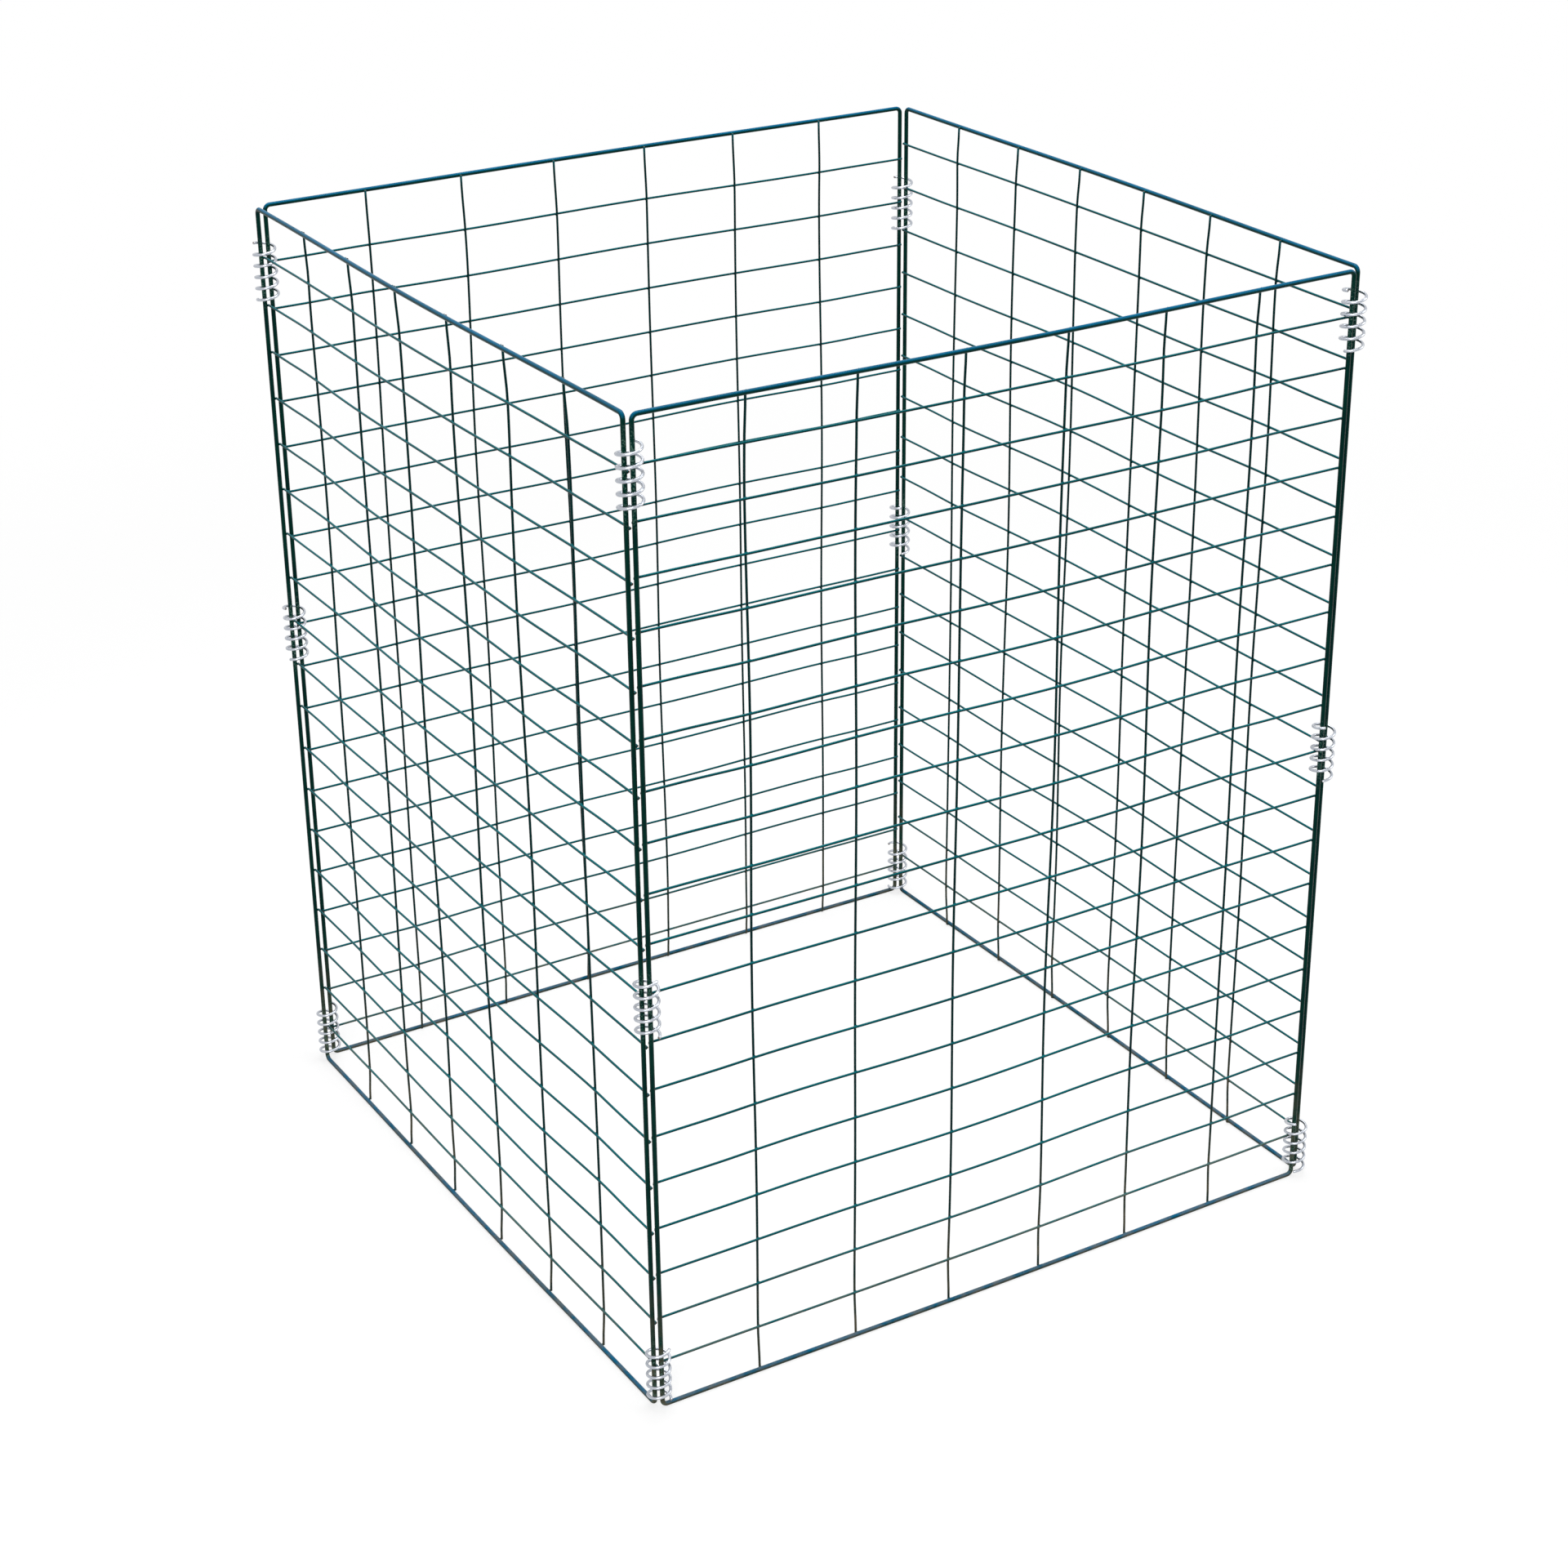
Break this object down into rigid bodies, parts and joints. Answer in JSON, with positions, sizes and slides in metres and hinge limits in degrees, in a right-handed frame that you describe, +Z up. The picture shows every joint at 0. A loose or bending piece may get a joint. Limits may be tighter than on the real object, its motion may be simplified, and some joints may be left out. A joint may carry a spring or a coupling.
{
  "type": "compost bin",
  "caption": "Open square garden compost bin of welded wire mesh panels in rod frames, hinged at the corners by spiral wire connectors so that it folds flat.",
  "frame": {"origin": "on the ground, under the middle of the bin", "axes": "+Z up; the front panel faces -Y, the right panel +X, the back panel +Y and the left panel -X"},
  "size_m": [0.7362, 0.7362, 0.914],
  "materials": {
    "frame_coating": "smooth green polymer coating over heavy steel rod, semi-gloss",
    "mesh_coating": "smooth green polymer coating over thin welded steel wire, semi-gloss",
    "zinc_wire": "zinc plated steel wire, satin, slightly dulled outdoors"
  },
  "bodies": {
    "front": {"front_frame": "frame_coating", "front_mesh": "mesh_coating", "front_right_spiral_top": "zinc_wire", "front_right_spiral_middle": "zinc_wire", "front_right_spiral_bottom": "zinc_wire"},
    "right": {"right_frame": "frame_coating", "right_mesh": "mesh_coating", "back_right_spiral_top": "zinc_wire", "back_right_spiral_middle": "zinc_wire", "back_right_spiral_bottom": "zinc_wire"},
    "back": {"back_frame": "frame_coating", "back_mesh": "mesh_coating", "back_left_spiral_top": "zinc_wire", "back_left_spiral_middle": "zinc_wire", "back_left_spiral_bottom": "zinc_wire"},
    "left": {"left_frame": "frame_coating", "left_mesh": "mesh_coating", "front_left_spiral_top": "zinc_wire", "front_left_spiral_middle": "zinc_wire", "front_left_spiral_bottom": "zinc_wire"}
  },
  "joints": [
    {"name": "right_fold", "type": "hinge", "parent": "front", "child": "right", "pos_m": [0.3606, -0.3534, 0], "axis": [0, 0, 1], "range_deg": [-85, 85]},
    {"name": "back_fold", "type": "hinge", "parent": "right", "child": "back", "pos_m": [0.3534, 0.3606, 0], "axis": [0, 0, 1], "range_deg": [-85, 85]},
    {"name": "left_fold", "type": "hinge", "parent": "front", "child": "left", "pos_m": [-0.3534, -0.3606, 0], "axis": [0, 0, 1], "range_deg": [-85, 85]}
  ],
  "couplings": [
    {"joint": "back_fold", "follows": "right_fold", "ratio": -1},
    {"joint": "left_fold", "follows": "right_fold", "ratio": 1}
  ]
}
